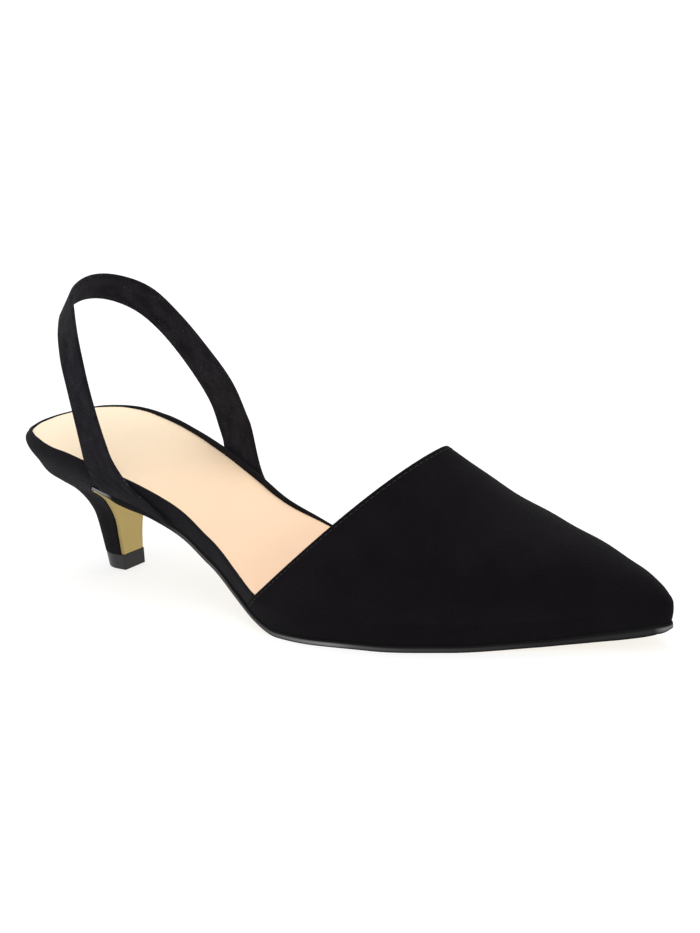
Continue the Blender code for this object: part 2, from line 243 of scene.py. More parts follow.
MIDDLE = smooth(PLAN["along"] * LENGTH, PLAN["middle"] * BALL_WIDTH)
FULL_HALF = smooth(PLAN["along"] * LENGTH, PLAN["half"] * BALL_WIDTH)
BACK = -HEEL_OVERHANG
FRONT = LENGTH + TOE_OVERHANG
FOREFOOT_FOOT = SOLE_THICKNESS + GAP
FOOT_HEIGHT = smooth(LEVELS["along"] * LENGTH,
                     FOREFOOT_FOOT + LEVELS["rise"] * (SEAT_HEIGHT - FOREFOOT_FOOT))
BAND = level_curve("band", BAND_HEIGHT)
TUCK = level_curve("tuck", MM)
BULGE = level_curve("bulge", MM)
WELT = level_curve("welt", MM)
INSOLE_THICKNESS = level_curve("insole", MM)
SOLE_DEPTH = level_curve("sole", MM)
HEEL_BACK = smooth(HEEL["share"], HEEL["back"] * MM)
HEEL_FRONT = smooth(HEEL["share"], HEEL["front"] * MM)
HEEL_HALF = smooth(HEEL["share"], HEEL["half"] * MM)


def rim_height(x):
    """Return the height of the low wall's top edge, which goes on as the vamp's widest line."""
    return FOOT_HEIGHT(x) + BAND(x)


RIDGE_RISE = smooth(RIDGE["along"] * LENGTH, RIDGE["height"] * (INSTEP_HEIGHT - rim_height(THROAT_TOP)))


def ridge_point(x):
    """Return the top of the vamp over one place along the shoe."""
    shift = RIDGE_SHIFT * (FRONT - x) / (FRONT - THROAT_TOP)
    height = rim_height(x) + RIDGE_RISE(x) * end_round(FRONT - x, RIDGE_ROUND)
    return np.stack([x, MIDDLE(x) + shift, height], axis=-1)


# The outline is a closed loop by angle: 0 at the back, pi at the toe, lateral side first

def angle_at(x):
    """Return the lateral side's angle for a place along the shoe."""
    return np.arccos(np.clip(1 - 2 * (np.asarray(x) - BACK) / (FRONT - BACK), -1, 1))


def place_at(angle):
    """Return the place along the shoe for an angle."""
    return BACK + (FRONT - BACK) * (1 - np.cos(angle)) / 2


def widest_line(angle):
    """Return x and y of the shoe's widest line."""
    x = place_at(angle)
    half = FULL_HALF(x) * end_round(x - BACK, HEEL_ROUND) * end_round(FRONT - x, TOE_ROUND)
    return np.stack([x, MIDDLE(x) - np.sign(np.sin(angle)) * half], axis=-1)


def outline(angle, inset):
    """Return x and y of the widest line moved in by the inset, square to the line."""
    step = 0.001
    along = widest_line(angle + step) - widest_line(angle - step)
    along /= np.linalg.norm(along, axis=-1, keepdims=True)
    inward = np.stack([-along[..., 1], along[..., 0]], axis=-1)
    return widest_line(angle) + inward * np.asarray(inset)[..., None]


def wall_points(angle, share, inset=0.0):
    """Return points on the low wall at a share of its height, moved in by the inset."""
    angle = np.asarray(angle, dtype=float)
    x = place_at(angle)
    plan = outline(angle, TUCK(x) * (1 - share) ** 2 - 4 * BULGE(x) * share * (1 - share) + inset)
    height = FOOT_HEIGHT(x) + BAND(x) * share
    return np.concatenate([plan, height[..., None]], axis=-1)


def frame_shift():
    """Return the move from the last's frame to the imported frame."""
    fine_steps = 4000
    across = widest_line(np.linspace(0, 2 * math.pi, fine_steps + 1))[:, 1]
    low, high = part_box("upper")
    return np.array([high.x - FRONT, (low.y + high.y - across.min() - across.max()) / 2, 0.0])


SHIFT = frame_shift()


# Meshes

def unit(vectors):
    """Return the vectors at length 1."""
    return vectors / np.maximum(np.linalg.norm(vectors, axis=-1, keepdims=True), 1e-12)


def lengths_along(points):
    """Return how far along a line of points each of them lies."""
    return np.concatenate([[0.0], np.cumsum(np.linalg.norm(np.diff(points, axis=0), axis=1))])


def read_along(places, lengths, points):
    """Return the points of a line at places along it, given the lengths at its own points."""
    return np.stack([np.interp(places, lengths, points[:, k]) for k in range(3)], axis=1)


def grid_faces(rows, columns, closed=False, first=0):
    """Return the faces of a grid of points, row by row, closed across its columns if asked."""
    faces = []
    for row in range(rows - 1):
        for column in range(columns if closed else columns - 1):
            after = (column + 1) % columns
            here = first + row * columns
            faces.append((here + column, here + after, here + columns + after, here + columns + column))
    return faces


def add_piece(name, points, faces, finishes, kinds=None, places=None, sharp=40):
    """Build a piece from points in the last's frame, join points that coincide and let it ride."""
    mesh = bpy.data.meshes.new(name)
    mesh.from_pydata((np.asarray(points) + SHIFT).tolist(), [], faces)
    for finish in finishes:
        mesh.materials.append(finish)
    if kinds is not None:
        mesh.polygons.foreach_set("material_index", kinds)
    if places is not None:
        corners = np.zeros(len(mesh.loops), dtype=int)
        mesh.loops.foreach_get("vertex_index", corners)
        layer = mesh.uv_layers.new(name="place")
        layer.data.foreach_set("uv", np.asarray(places)[corners].ravel())
    bm = bmesh.new()
    bm.from_mesh(mesh)
    bmesh.ops.remove_doubles(bm, verts=bm.verts, dist=JOIN_DISTANCE)
    bmesh.ops.recalc_face_normals(bm, faces=bm.faces)
    bm.to_mesh(mesh)
    bm.free()
    mesh.shade_smooth()
    mesh.set_sharp_from_angle(angle=math.radians(sharp))
    piece = bpy.data.objects.new(name, mesh)
    bpy.context.scene.collection.objects.link(piece)
    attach(piece, "root")
    return piece


# Finishes

def colour(red, green, blue):
    """Return a display colour, given from 0 to 255, as linear light."""
    shares = np.array([red, green, blue]) / 255
    linear = np.where(shares <= 0.04045, shares / 12.92, ((shares + 0.055) / 1.055) ** 2.4)
    return (*linear.tolist(), 1.0)


def new_finish(name, sockets):
    """Return a new material with its node tree and shader, and the even values set on the shader."""
    finish = bpy.data.materials.new(name)
    finish.use_nodes = True
    shader = finish.node_tree.nodes["Principled BSDF"]
    for socket, value in sockets.items():
        shader.inputs[socket].default_value = value
    return finish, finish.node_tree, shader


def add_node(tree, kind, inputs):
    """Add a node, linking each input that is another node's output and setting the rest."""
    node = tree.nodes.new(kind)
    for socket, value in inputs.items():
        if isinstance(value, bpy.types.NodeSocket):
            tree.links.new(value, node.inputs[socket])
        else:
            node.inputs[socket].default_value = value
    return node


def link(tree, shader, outputs):
    """Link each named socket of the shader to an output."""
    for socket, output in outputs.items():
        tree.links.new(output, shader.inputs[socket])


def place_of(tree, output="Object", stretch=(1, 1, 1)):
    """Return the place on the surface, stretched."""
    source = tree.nodes.new("ShaderNodeTexCoord").outputs[output]
    return add_node(tree, "ShaderNodeMapping", {"Vector": source, "Scale": stretch}).outputs["Vector"]


def noise(tree, place, scale, detail=3.0, rough=0.55):
    """Return soft noise, its scale in features to the place's own unit."""
    inputs = {"Vector": place, "Scale": scale, "Detail": detail, "Roughness": rough}
    return add_node(tree, "ShaderNodeTexNoise", inputs).outputs["Fac"]


def work(tree, kind, first, second):
    """Return two values put together by one kind of sum, such as ADD or MULTIPLY."""
    node = add_node(tree, "ShaderNodeMath", {0: first, 1: second})
    node.operation = kind
    return node.outputs[0]


def ramp(tree, factor, stops):
    """Return a colour from the stops, each a place from 0 to 1 and a colour."""
    node = add_node(tree, "ShaderNodeValToRGB", {"Fac": factor})
    elements = node.color_ramp.elements
    while len(elements) < len(stops):
        elements.new(1.0)
    for element, (place, shade) in zip(elements, stops):
        element.position = place
        element.color = shade
    return node.outputs["Color"]


def bump(tree, height, distance, under=None):
    """Return the surface's normal raised by the height, over another bump if there is one."""
    inputs = {"Height": height, "Distance": distance}
    if under is not None:
        inputs["Normal"] = under
    return add_node(tree, "ShaderNodeBump", inputs).outputs["Normal"]


def suede(name, dark, light, sheen):
    """Return short-napped suede: fine grain, with soft patches where the nap lies another way."""
    finish, tree, shader = new_finish(name, {
        "Roughness": 0.95, "Specular IOR Level": 0.06, "Sheen Weight": sheen, "Sheen Roughness": 0.5,
        "Sheen Tint": (0.55, 0.53, 0.57, 1)})
    place = place_of(tree)
    nap = noise(tree, place, 2400, 2, 0.7)
    brushed = noise(tree, place_of(tree, stretch=(1, 1.7, 1.4)), 75, 4)
    shade = work(tree, "ADD", work(tree, "MULTIPLY", nap, 0.55), work(tree, "MULTIPLY", brushed, 0.45))
    pile = noise(tree, place, 4200, 2, 0.6)
    link(tree, shader, {
        "Base Color": ramp(tree, shade, [(0.32, dark), (0.68, light)]),
        "Normal": bump(tree, nap, 0.22 * MM, bump(tree, pile, 0.12 * MM))})
    return finish


def insole_leather():
    """Return smooth peach leather, creamier at the heel and pinker towards the toe."""
    finish, tree, shader = new_finish("insole_leather", {"Specular IOR Level": 0.35})
    place = place_of(tree)
    along = add_node(tree, "ShaderNodeSeparateXYZ", {"Vector": place}).outputs["X"]
    share = add_node(tree, "ShaderNodeMapRange", {
        "Value": along, "From Min": -LENGTH / 2, "From Max": LENGTH / 2}).outputs["Result"]
    cloud = work(tree, "MULTIPLY", work(tree, "SUBTRACT", noise(tree, place, 28, 3), 0.5), 0.12)
    tint = ramp(tree, work(tree, "ADD", share, cloud), [
        (0.00, colour(248, 231, 202)), (0.30, colour(243, 213, 180)), (0.60, colour(241, 202, 171)),
        (1.00, colour(234, 192, 163))])
    grain = noise(tree, place, 1900, 4, 0.6)
    pores = add_node(tree, "ShaderNodeTexVoronoi", {"Vector": place, "Scale": 1300.0})
    gloss = add_node(tree, "ShaderNodeMapRange", {"Value": grain, "To Min": 0.42, "To Max": 0.58})
    link(tree, shader, {
        "Base Color": tint,
        "Roughness": gloss.outputs["Result"],
        "Normal": bump(tree, grain, 0.04 * MM, bump(tree, pores.outputs["Distance"], 0.03 * MM))})
    return finish


def plain_leather(name, dark, light, roughness):
    """Return plain leather with a fine grain and faint clouds of colour."""
    finish, tree, shader = new_finish(name, {"Roughness": roughness, "Specular IOR Level": 0.35})
    place = place_of(tree)
    cloud = noise(tree, place, 60, 5, 0.6)
    grain = noise(tree, place, 1500, 4, 0.65)
    link(tree, shader, {
        "Base Color": ramp(tree, cloud, [(0.3, dark), (0.7, light)]),
        "Normal": bump(tree, grain, 0.06 * MM)})
    return finish


# Painted highlight on the sole's black edge: share of the way to the toe's tip, and how grey, 0 to 1
EDGE_HIGHLIGHT = table("along grey", [
    (0.000, 1.00),
    (0.183, 1.00),
    (0.194, 0.00),
    (0.270, 0.00),
    (0.310, 0.20),
    (0.390, 0.30),
    (0.470, 0.20),
    (0.590, 0.80),
    (0.630, 0.30),
    (0.700, 0.15),
    (0.860, 0.04),
    (0.985, 0.06),
    (0.995, 0.65),
    (1.000, 0.55),
])


def edge_ink_and_highlight():
    """Return the sole's black-inked edge, with a painted highlight in grey along its middle in places."""
    finish, tree, shader = new_finish("edge_ink_and_highlight", {"Roughness": 0.55, "Specular IOR Level": 0.06})
    place = place_of(tree, stretch=(1, 1, 4))
    # The sole's own places are mm along it and the share of its depth
    spot = add_node(tree, "ShaderNodeSeparateXYZ", {"Vector": place_of(tree, "UV")})
    wander = work(tree, "MULTIPLY", work(tree, "SUBTRACT", noise(tree, place, 160, 4), 0.5), 0.008)
    share = work(tree, "ADD", work(tree, "MULTIPLY", spot.outputs["X"], MM / FRONT), wander)
    # Painted highlight: grey along the shoe where the table says, in a band along the middle of the
    # edge's depth
    stops = [(along, (grey, grey, grey, 1)) for along, grey in zip(*EDGE_HIGHLIGHT.values())]
    highlight_along = ramp(tree, share, stops)
    band = ramp(tree, spot.outputs["Y"], [
        (0.28, (0, 0, 0, 1)), (0.47, (1, 1, 1, 1)), (0.68, (1, 1, 1, 1)), (0.92, (0.03, 0.03, 0.03, 1))])
    painted_highlight = work(tree, "MULTIPLY", highlight_along, band)
    link(tree, shader, {
        # Black ink, and the light grey of the painted highlight
        "Base Color": ramp(tree, painted_highlight, [(0.0, colour(18, 17, 18)), (1.0, colour(140, 139, 141))]),
        "Normal": bump(tree, noise(tree, place, 900, 3), 0.06 * MM)})
    return finish


def rubber():
    """Return the dark hard rubber of the top piece."""
    finish, tree, shader = new_finish("top_piece_rubber", {"Specular IOR Level": 0.3})
    speckle = noise(tree, place_of(tree), 1400, 3, 0.6)
    gloss = add_node(tree, "ShaderNodeMapRange", {"Value": speckle, "To Min": 0.3, "To Max": 0.45})
    link(tree, shader, {
        "Base Color": ramp(tree, speckle, [(0.3, colour(26, 24, 26)), (0.7, colour(39, 37, 39))]),
        "Roughness": gloss.outputs["Result"],
        "Normal": bump(tree, speckle, 0.05 * MM)})
    return finish


def elastic():
    """Return finely woven elastic: a faint weave, soft clouds and clusters of tiny light flecks."""
    finish, tree, shader = new_finish("elastic", {
        "Roughness": 0.9, "Specular IOR Level": 0.08, "Sheen Weight": 0.04, "Sheen Roughness": 0.5,
        "Sheen Tint": (0.58, 0.58, 0.64, 1)})
    # The strap's own places are mm across it and along it
    place = place_of(tree, "UV")
    ribs = add_node(tree, "ShaderNodeTexWave", {
        "Vector": place, "Scale": 0.5, "Distortion": 2.5, "Detail": 2.0, "Detail Scale": 1.5})
    ribs.bands_direction = "X"
    weft = add_node(tree, "ShaderNodeTexWave", {
        "Vector": place, "Scale": 0.62, "Distortion": 3.0, "Detail": 2.0, "Detail Scale": 1.5})
    weft.bands_direction = "Y"
    weave = work(tree, "MULTIPLY", ribs.outputs["Fac"], weft.outputs["Fac"])
    soft = noise(tree, place_of(tree, "UV", (1, 0.45, 1)), 0.3, 3)
    shade = work(tree, "ADD", work(tree, "MULTIPLY", weave, 0.14), work(tree, "MULTIPLY", soft, 0.86))
    base = ramp(tree, shade, [(0.25, colour(15, 13, 17)), (0.70, colour(39, 37, 42))])
    speck = noise(tree, place, 1.5, 2, 0.6)
    fleck = add_node(tree, "ShaderNodeMapRange", {"Value": speck, "From Min": 0.62, "From Max": 0.70})
    cluster = add_node(tree, "ShaderNodeMapRange", {
        "Value": noise(tree, place, 0.16, 1), "From Min": 0.48, "From Max": 0.60})
    light = work(tree, "MULTIPLY", fleck.outputs["Result"], cluster.outputs["Result"])
    # Inputs 6 and 7 of a mix node are its two colours, and output 2 is the mixed one
    mixed = add_node(tree, "ShaderNodeMix", {"Factor": light})
    mixed.data_type = "RGBA"
    tree.links.new(base, mixed.inputs[6])
    mixed.inputs[7].default_value = colour(72, 73, 80)
    lumps = work(tree, "ADD", weave, speck)
    link(tree, shader, {"Base Color": mixed.outputs[2], "Normal": bump(tree, lumps, 0.15 * MM)})
    return finish


def thread():
    """Return the twisted sewing thread."""
    finish, tree, shader = new_finish("thread", {"Roughness": 0.6, "Specular IOR Level": 0.35})
    twist = noise(tree, place_of(tree), 5200, 2)
    link(tree, shader, {
        "Base Color": ramp(tree, twist, [(0.3, colour(8, 7, 9)), (0.7, colour(18, 17, 19))]),
        "Normal": bump(tree, twist, 0.06 * MM)})
    return finish


SUEDE = suede("suede", colour(10, 8, 10), colour(19, 16, 19), 0.03)
RAND_SUEDE = suede("rand_suede", colour(16, 15, 17), colour(30, 29, 32), 0.05)
HEEL_SUEDE = suede("heel_suede", colour(13, 11, 13), colour(25, 23, 26), 0.05)
INSOLE_LEATHER = insole_leather()
LINING = plain_leather("lining", colour(196, 160, 124), colour(208, 174, 138), 0.6)
SOLE_TAN = plain_leather("sole_tan", colour(176, 155, 94), colour(188, 167, 104), 0.5)
CUT_EDGE = plain_leather("cut_edge", colour(140, 122, 74), colour(165, 146, 90), 0.7)
EDGE_INK_AND_HIGHLIGHT = edge_ink_and_highlight()
RUBBER = rubber()
ELASTIC = elastic()
THREAD = thread()


# Vamp

BAND_COLUMNS = 10
ARCH_COLUMNS = 96
TOE_ROWS = 110
ROLL_ROWS = 8
FACING_ROWS = 6
TOE_FADE_ROWS = 12
LINING_ROWS_CUT = 6
# Share of the way to the toe that holds the rows near the edge, and the samples that place them
EDGE_PROGRESS = 0.08
EDGE_SAMPLES = 160
LINING_DISTANCES = np.array([1.5, 2.0, 3.0, 4.0]) * MM
EDGE_DISTANCES = np.array([0.65, 0.85, 1.05, 1.2, 1.35, 1.45, 1.55, 1.62, 1.7, 1.78, 1.85, 1.95, 2.05,
                           2.2, 2.4, 2.7, 3.0, 3.5]) * MM


def seam_place(share):
    """Return where the vamp's edge crosses the low wall at a share of its height."""
    return THROAT_SIDE - SEAM_LEAN * (1 - share)


def side_column(side, share, inset):
    """Return a function from progress to points on the vamp's side, low down."""
    start = seam_place(share)

    def at(progress):
        angle = angle_at(start + progress * (FRONT - start))
        fill = VAMP_FILL * (1 - share) ** 2 * np.clip(progress / VAMP_FILL_START, 0, 1)
        return wall_points(angle if side == "lateral" else -angle, share, inset - fill)

    return at


def arch_column(turn):
    """Return a function from progress to points on the vamp's arch, pi round from side to side."""
    across = abs(math.cos(turn))
    up = math.sin(turn)

    def at(progress):
        angle = angle_at(THROAT_SIDE + progress * (FRONT - THROAT_SIDE))
        base = wall_points(angle if turn < math.pi / 2 else -angle, 1.0)
        top = ridge_point(THROAT_TOP + progress * (FRONT - THROAT_TOP))
        x = base[..., 0] + (top[..., 0] - base[..., 0]) * up ** THROAT_CURVE
        y = top[..., 1] + (base[..., 1] - top[..., 1]) * across
        z = base[..., 2] + (top[..., 2] - base[..., 2]) * up
        behind = np.clip(1 - progress * (FRONT - THROAT_TOP) / APEX_REACH, 0, 1)
        curl = APEX_CURL * up ** 6 * behind ** 2
        return np.stack([x, y, z - curl], axis=-1)

    return at


def vamp_columns():
    """Return the vamp's columns from the lateral lasting margin over the ridge to the medial one."""
    shares = np.linspace(0, 1, BAND_COLUMNS + 1)
    turns = np.linspace(0, math.pi, ARCH_COLUMNS + 1)[1:-1]
    lateral = [side_column("lateral", 0.0, LASTING_MARGIN)]
    lateral += [side_column("lateral", share, 0.0) for share in shares]
    medial = [side_column("medial", share, 0.0) for share in shares[::-1]]
    medial += [side_column("medial", 0.0, LASTING_MARGIN)]
    return lateral + [arch_column(turn) for turn in turns] + medial


def progress_rows(columns, distances):
    """Return for each column the progress at each distance from the edge, and on to the toe."""
    fine = np.linspace(0, EDGE_PROGRESS, EDGE_SAMPLES + 1)
    rows = []
    for column in columns:
        near = np.interp(distances, lengths_along(column(fine)), fine)
        rest = np.sin(np.linspace(0, math.pi / 2, TOE_ROWS + 1))[1:]
        rows.append(np.concatenate([near, near[-1] + (1 - near[-1]) * rest]))
    return np.array(rows).T


def vamp_grid(distances):
    """Return the vamp's outer points and outward normals, row by row from the edge to the toe."""
    columns = vamp_columns()
    progress = progress_rows(columns, distances)
    points = np.stack([column(progress[:, i]) for i, column in enumerate(columns)], axis=1)
    onward = np.gradient(points, axis=0)
    across = np.gradient(points, axis=1)
    normals = unit(np.cross(onward, across))
    normals[-1] = unit(normals[-2].mean(axis=0, keepdims=True))
    return points, normals


def soft_unevenness(points, size):
    """Return a slow wave over the surface, as hand lasting leaves it, with its wave lengths in mm."""
    x, y, z = np.moveaxis(points / MM, -1, 0)
    wave = np.sin(x / 9.1 + 0.7 * np.sin(y / 7.3)) * np.sin(y / 8.7 + 0.5 + z / 11.0)
    wave += 0.6 * np.sin(x / 4.7 + z / 5.9 + 1.3) * np.sin(y / 5.3 - x / 17.0)
    return wave[..., None] * size


def build_vamp():
    """Build the vamp's suede: its outer skin, the folded edge and the facing inside it."""
    points, normals = vamp_grid(EDGE_DISTANCES)
    count = len(EDGE_DISTANCES)
    fade = np.ones(len(points))
    fade[:count] = np.linspace(0, 1, count)
    fade[-TOE_FADE_ROWS:] = np.linspace(1, 0, TOE_FADE_ROWS)
    points = points + normals * soft_unevenness(points, UNEVENNESS) * fade[:, None, None]
    groove = np.zeros(len(points))
    groove[:count] = STITCH_GROOVE * np.exp(-((EDGE_DISTANCES - STITCH_EDGE) / STITCH_GROOVE_WIDTH) ** 2)
    outer = points - normals * groove[:, None, None]

    radius = VAMP_THICKNESS / 2
    back = unit(points[0] - points[1])
    centre = points[0] - normals[0] * radius
    roll = []
    for turn in np.linspace(math.pi, 0, ROLL_ROWS + 1)[:-1]:
        roll.append(centre + radius * (normals[0] * math.cos(turn) + back * math.sin(turn)))
    facing = []
    for reach in np.linspace(FACING, 0, FACING_ROWS + 1)[:-1]:
        facing.append(points[0] - normals[0] * VAMP_THICKNESS - back * reach)
    rows = np.concatenate([facing, roll, outer])
    faces = grid_faces(*rows.shape[:2])
    return add_piece("vamp", rows.reshape(-1, 3), faces, [SUEDE])


def build_lining():
    """Build the vamp's lining, with its cut edge just inside the topline, and closed at the toe."""
    points, normals = vamp_grid(LINING_DISTANCES)
    points = points[:-LINING_ROWS_CUT]
    normals = normals[:-LINING_ROWS_CUT]
    outer = points - normals * (VAMP_THICKNESS + LINING_CLEARANCE)
    inner = outer - normals * LINING_THICKNESS
    toe = np.repeat(inner[-1:].mean(axis=1, keepdims=True), inner.shape[1], axis=1)
    rows = np.concatenate([outer[::-1], inner, toe])
    faces = grid_faces(*rows.shape[:2])
    return add_piece("vamp_lining", rows.reshape(-1, 3), faces, [LINING])


def build_stitches():
    """Build the row of stitches along the topline and down the seam to the sole."""
    points, normals = vamp_grid(np.array([STITCH_EDGE, STITCH_EDGE + 0.5 * MM]))
    line = points[0, 1:-1]
    normals = normals[0, 1:-1]
    lengths = lengths_along(line)
    sides = 6
    rings = 7
    vertices = []
    faces = []
    for start in np.arange(STITCH_START, lengths[-1] - STITCH_PITCH, STITCH_PITCH):
        places = start + np.linspace(0, STITCH_LENGTH, rings)
        centre = read_along(places, lengths, line)
        out = unit(read_along(places, lengths, normals))
        along = unit(np.gradient(centre, axis=0))
        side = np.cross(out, along)
        arc = np.sqrt(np.sin(np.linspace(0, math.pi, rings)).clip(0))
        first = len(vertices)
        for i in range(rings):
            lifted = centre[i] + out[i] * (STITCH_ARCH * arc[i] - STITCH_GROOVE)
            radius = STITCH_RADIUS * (STITCH_END + (1 - STITCH_END) * arc[i])
            for turn in np.linspace(0, 2 * math.pi, sides, endpoint=False):
                vertices.append(lifted + radius * (out[i] * math.cos(turn) + side[i] * math.sin(turn)))
        faces += grid_faces(rings, sides, True, first)
        faces.append(tuple(range(first + sides - 1, first - 1, -1)))
        faces.append(tuple(range(first + (rings - 1) * sides, first + rings * sides)))
    return add_piece("topline_stitches", vertices, faces, [THREAD])


# Rand: the low covered wall round the waist and seat

RAND_COLUMNS = 220
RAND_WALL_ROWS = 12
RAND_INNER_ROWS = 4
RAND_INNER_FOOT = 0.25
# How much higher the rim stands than the upper's solid: along in mm, then each side in mm
RIM_RAISE = table("along lateral medial", [
    (0, -0.90, -0.95),
    (3, -0.10, -0.70),
    (6, 0.70, -0.25),
    (10, 0.95, 0.00),
    (15, 0.90, 0.00),
    (20, 0.50, -0.10),
    (27, 0.00, -0.40),
    (31, 0.00, -0.35),
    (36, 0.00, 0.00),
    (45, 0.00, 0.40),
    (60, 0.00, 0.75),
    (95, 0.00, 0.75),
    (103, 0.00, 0.45),
    (112, 0.00, 0.25),
    (125, 0.00, 0.00),
])
# How far the wall round the seat swells near its rim and draws in near its foot, and where that ends
SEAT_SWELL = 0.8 * MM
SEAT_TRIM = 0.8 * MM
SEAT_SWELL_END = 40.0 * MM
# These bring the swell's and the trim's curves to a peak of about 1
SWELL_SCALE = 12.2
TRIM_SCALE = 9.5


def build_rand():
    """Build the rand: lasting margin, outer wall, rolled rim and inner wall."""
    last = angle_at(seam_place(0.0) + RAND_OVERLAP)
    angles = np.linspace(-last, last, 2 * RAND_COLUMNS + 1)
    x = place_at(angles)
    radius = (WALL - RAND_INSET) / 2
    rows = [wall_points(angles, 0.0, RAND_INSET + LASTING_MARGIN)]
    lateral = side_value(RIM_RAISE, "lateral", x)
    medial = side_value(RIM_RAISE, "medial", x)
    full = 1 + (np.where(angles < 0, medial, lateral) - radius) / BAND(x)
    seat = np.clip(1 - x / SEAT_SWELL_END, 0, 1)
    for part in np.linspace(0, 1, RAND_WALL_ROWS + 1):
        swell = SEAT_SWELL * SWELL_SCALE * part ** 4 * (1 - part)
        trim = SEAT_TRIM * TRIM_SCALE * part * (1 - part) ** 3
        rows.append(wall_points(angles, full * part, RAND_INSET + seat * (trim - swell)))
    for turn in np.linspace(0, math.pi, ROLL_ROWS + 1)[1:]:
        row = wall_points(angles, full, RAND_INSET + radius * (1 - math.cos(turn)))
        row[:, 2] += radius * math.sin(turn)
        rows.append(row)
    for part in np.linspace(1, RAND_INNER_FOOT, RAND_INNER_ROWS + 1)[1:]:
        rows.append(wall_points(angles, full * part, WALL))
    rows = np.array(rows)
    faces = grid_faces(*rows.shape[:2])
    return add_piece("rand", rows.reshape(-1, 3), faces, [RAND_SUEDE])


# Footbed

FOOTBED_STEPS = 200
FOOTBED_ACROSS = 28
FOOTBED_OVERLAP = 0.15 * MM
FOOTBED_DISH = 0.5 * MM
FOOTBED_DISH_RUN = 30.0 * MM
FOOTBED_ROLL = 0.2 * MM
FOOTBED_ROLL_WIDTH = 1.0 * MM
# How much higher the covering's edge stands than the insole's solid: along in mm, then each side in mm
FOOTBED_RAISE = table("along lateral medial", [
    (0, -0.50, -0.50),
    (8, 0.35, 0.35),
    (15, 0.35, 0.35),
    (20, 0.20, 0.00),
    (32, 0.10, -0.55),
    (50, 0.00, 0.00),
    (62, 0.00, -0.20),
    (84, 0.00, -0.20),
    (91, 0.00, 0.35),
    (105, 0.05, 0.75),
    (117, 0.10, 1.00),
    (126, 0.00, 0.80),
    (145, 0.00, 0.00),
])


def build_footbed():
    """Build the covered footbed: a slightly dished top that rolls down to the wall, and an underside."""
    angles = np.linspace(0, math.pi, FOOTBED_STEPS + 1)
    x = place_at(angles)
    share = (GAP + INSOLE_THICKNESS(x)) / BAND(x)
    lateral = wall_points(angles, share, WALL - FOOTBED_OVERLAP)
    medial = wall_points(-angles, share, WALL - FOOTBED_OVERLAP)
    lateral[:, 2] += side_value(FOOTBED_RAISE, "lateral", x)
    medial[:, 2] += side_value(FOOTBED_RAISE, "medial", x)
    ends = np.minimum(x - x[0], x[-1] - x)
    width = np.linalg.norm(medial - lateral, axis=1)
    rows = []
    for across in (1 - np.cos(np.linspace(0, math.pi, FOOTBED_ACROSS + 1))) / 2:
        row = lateral + (medial - lateral) * across
        edge = np.minimum(width * min(across, 1 - across), ends)
        rolled = FOOTBED_ROLL * np.clip(1 - edge / FOOTBED_ROLL_WIDTH, 0, 1) ** 2
        dish = FOOTBED_DISH * 4 * across * (1 - across) * np.minimum(ends / FOOTBED_DISH_RUN, 1)
        row[:, 2] -= rolled + dish
        rows.append(row)
    under = []
    for side in (-angles, angles):
        low = wall_points(side, 0.0, WALL + CURVED_GAP)
        low[:, 2] += CONTACT
        under.append(low)
    grid = np.array([*rows, *under, rows[0]])
    faces = grid_faces(*grid.shape[:2])
    return add_piece("footbed", grid.reshape(-1, 3), faces, [INSOLE_LEATHER])


# Heel and top piece

HEEL_ROWS = 70
SEAT_STEPS = 40
FRONT_STEPS = 10
HEEL_DRAW_START = 0.85
HEEL_DRAW_FRONT = 0.4
HEEL_BEVEL = 0.12 * MM
TOP_PIECE_BEVEL = 0.25 * MM
TOP_PIECE_INSERT = 0.1 * MM
TOP_PIECE_ROWS = 5
BEVEL_CORNER = 50


def heel_section(ahead, width, share):
    """Return x and y round one section of the heel, its front turned a little to the lateral side."""
    y = width * HEEL_HALF(share) / HEEL_HALF(1.0)
    x = HEEL_BACK(share) + ahead * (HEEL_FRONT(share) - HEEL_BACK(share)) + BREAST_SKEW * ahead * y
    return x, y


def seat_loop():
    """Return the angles round the seat, and how far ahead of its back each lies, from 0 to 1."""
    angles = np.linspace(0, angle_at(SEAT_FRONT), SEAT_STEPS + 1)
    loop = np.concatenate([angles, -angles[:0:-1]])
    x = wall_points(loop, 0.0)[:, 0]
    return loop, (x - x[0]) / (SEAT_FRONT - x[0])


def heel_ring(share, lift=0.0):
    """Return a ring round the heel: the seat's outline scaled to the section's back, front and width."""
    loop, ahead = seat_loop()
    width = wall_points(loop, 0.0)[:, 1]
    x, y = heel_section(ahead, width, share)
    top, _ = heel_section(ahead, width, 1.0)
    joint = TOP_PIECE_HEIGHT + GAP
    z = joint + share * (FOOT_HEIGHT(top) - GAP + lift - joint)
    return np.stack([x, y, z], axis=-1)


def with_front(ring):
    """Return the ring with its straight front edge cut into steps."""
    start = ring[SEAT_STEPS]
    end = ring[SEAT_STEPS + 1]
    between = [start + (end - start) * part for part in np.linspace(0, 1, FRONT_STEPS + 1)[1:-1]]
    return np.concatenate([ring[:SEAT_STEPS + 1], between, ring[SEAT_STEPS + 1:]])


def stack_piece(name, rings, finish, bevel):
    """Build a closed piece through rings, with softened corners."""
    rings = np.array(rings)
    rows, columns = rings.shape[:2]
    faces = grid_faces(rows, columns, True)
    faces.append(tuple(range(columns - 1, -1, -1)))
    faces.append(tuple(range((rows - 1) * columns, rows * columns)))
    piece = add_piece(name, rings.reshape(-1, 3), faces, [finish], sharp=BEVEL_CORNER)
    modifier = piece.modifiers.new("corners", "BEVEL")
    modifier.width = bevel
    modifier.segments = 3
    modifier.limit_method = "ANGLE"
    modifier.angle_limit = math.radians(BEVEL_CORNER)
    modifier.harden_normals = True
    return piece


